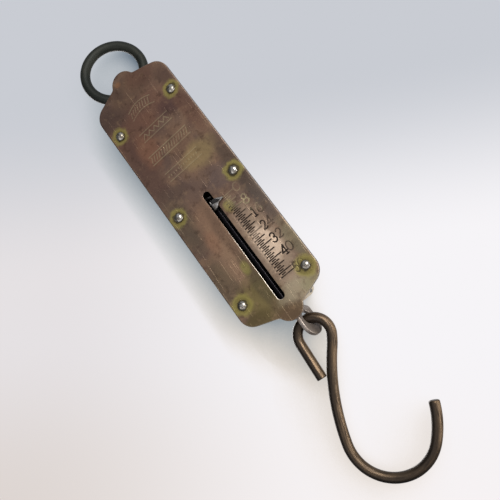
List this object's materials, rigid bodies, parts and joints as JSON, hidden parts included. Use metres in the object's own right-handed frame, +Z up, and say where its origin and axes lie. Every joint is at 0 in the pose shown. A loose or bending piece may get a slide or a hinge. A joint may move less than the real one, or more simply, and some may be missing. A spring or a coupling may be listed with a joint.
{
  "type": "hanging spring scale",
  "caption": "Pocket-sized hanging spring scale: flat riveted brass face with a slot pointer and stamped scale, iron ring above and wire load hook below.",
  "frame": {"origin": "inside of the ring's top, where the scale hangs, above the case's centre line", "axes": "+Z up along the case, -Y the way the dial faces, +X to the right of the dial"},
  "size_m": [0.0484, 0.0159, 0.2559],
  "materials": {
    "face": "aged, red-brown to olive patina",
    "shell": "aged, dull yellow",
    "ring": "black japanned iron",
    "steel": "worn steel",
    "bar": "grey-brown steel",
    "hook": "dark brown steel with worn lights",
    "spring": "oiled spring steel"
  },
  "bodies": {
    "ring": {"hanging_ring": "ring"},
    "case": {"ring_eye": "bar", "anchor_pin": "steel", "front_plate": "face", "back_shell": "shell", "rivet_top_left": "steel", "rivet_top_right": "steel", "rivet_mid_left": "steel", "rivet_mid_right": "steel", "rivet_low_left": "steel", "rivet_low_right": "steel", "main_spring": "spring"},
    "draw": {"draw_bar": "bar", "pointer": "steel", "pointer_rivet": "steel"},
    "hook": {"load_hook": "hook"}
  },
  "joints": [
    {"name": "case_swing", "type": "hinge", "parent": "ring", "child": "case", "pos_m": [0, 0, -0.0273], "axis": [0.9393, 0.3052, 0.1564], "range_deg": [-6, 60]},
    {"name": "draw_slide", "type": "slide", "parent": "case", "child": "draw", "axis": [0, 0, -1], "range_m": [0, 0.04635], "stiffness_N_per_m": 4800, "deforming": ["main_spring"]},
    {"name": "hook_swing", "type": "hinge", "parent": "draw", "child": "hook", "pos_m": [0, -0.00105, -0.17], "axis": [1, 0, 0], "range_deg": [-80, 80]}
  ]
}
